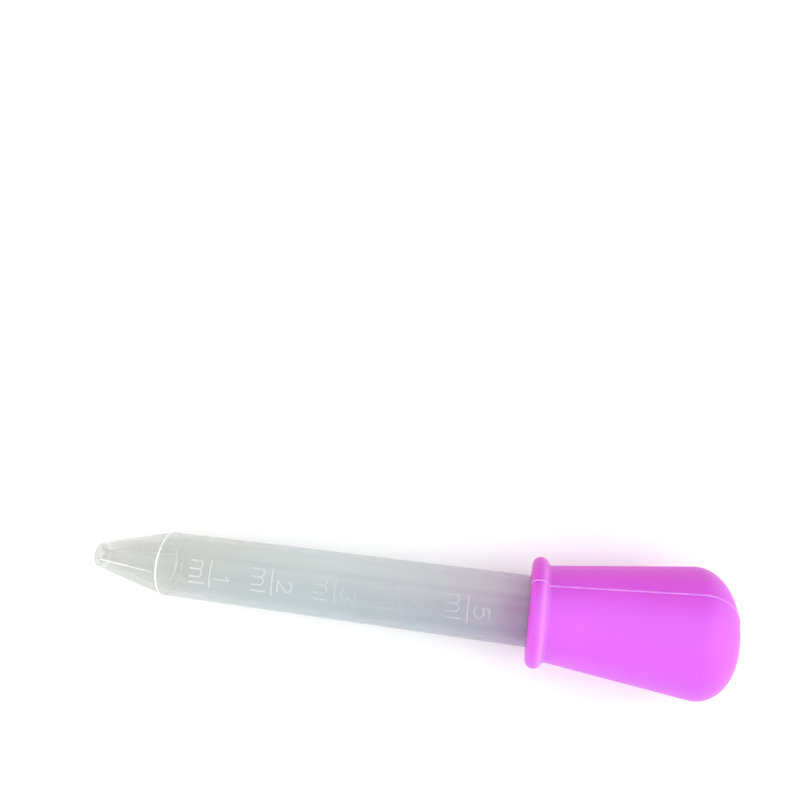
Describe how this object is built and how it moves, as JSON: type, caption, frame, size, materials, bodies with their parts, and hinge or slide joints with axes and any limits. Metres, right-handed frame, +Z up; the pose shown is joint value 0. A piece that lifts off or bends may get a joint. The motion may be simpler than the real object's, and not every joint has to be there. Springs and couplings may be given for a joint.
{
  "type": "medicine dropper",
  "caption": "Graduated translucent dropper tube with a tapered tip and a hollow pull-off squeeze bulb with a rolled rim.",
  "frame": {"origin": "on the table the dropper lies on, under the middle of its box", "axes": "+X from the tip towards the bulb along the table, +Z up; the dropper's own axis rises about 3.1 degrees towards the bulb, as it lies"},
  "size_m": [0.12, 0.0226, 0.0226],
  "materials": {
    "polypropylene": "translucent natural polypropylene, satin",
    "silicone": "matte moulded silicone"
  },
  "bodies": {
    "barrel": {"barrel": "polypropylene"},
    "bulb": {"bulb": "silicone"},
    "front_wall": {"bulb_front_wall": "silicone"},
    "back_wall": {"bulb_back_wall": "silicone"}
  },
  "joints": [
    {"name": "bulb_pull_off", "type": "slide", "parent": "barrel", "child": "bulb", "axis": [0.9985, 0, 0.0539], "range_m": [0, 0.03]},
    {"name": "squeeze_front", "type": "slide", "parent": "bulb", "child": "front_wall", "axis": [0.0253, 0.8829, -0.4688], "range_m": [0, 0.005], "stiffness_N_per_m": 600},
    {"name": "squeeze_back", "type": "slide", "parent": "bulb", "child": "back_wall", "axis": [-0.0253, -0.8829, 0.4688], "range_m": [0, 0.005], "stiffness_N_per_m": 600}
  ],
  "couplings": [
    {"joint": "squeeze_back", "follows": "squeeze_front", "ratio": 1}
  ]
}
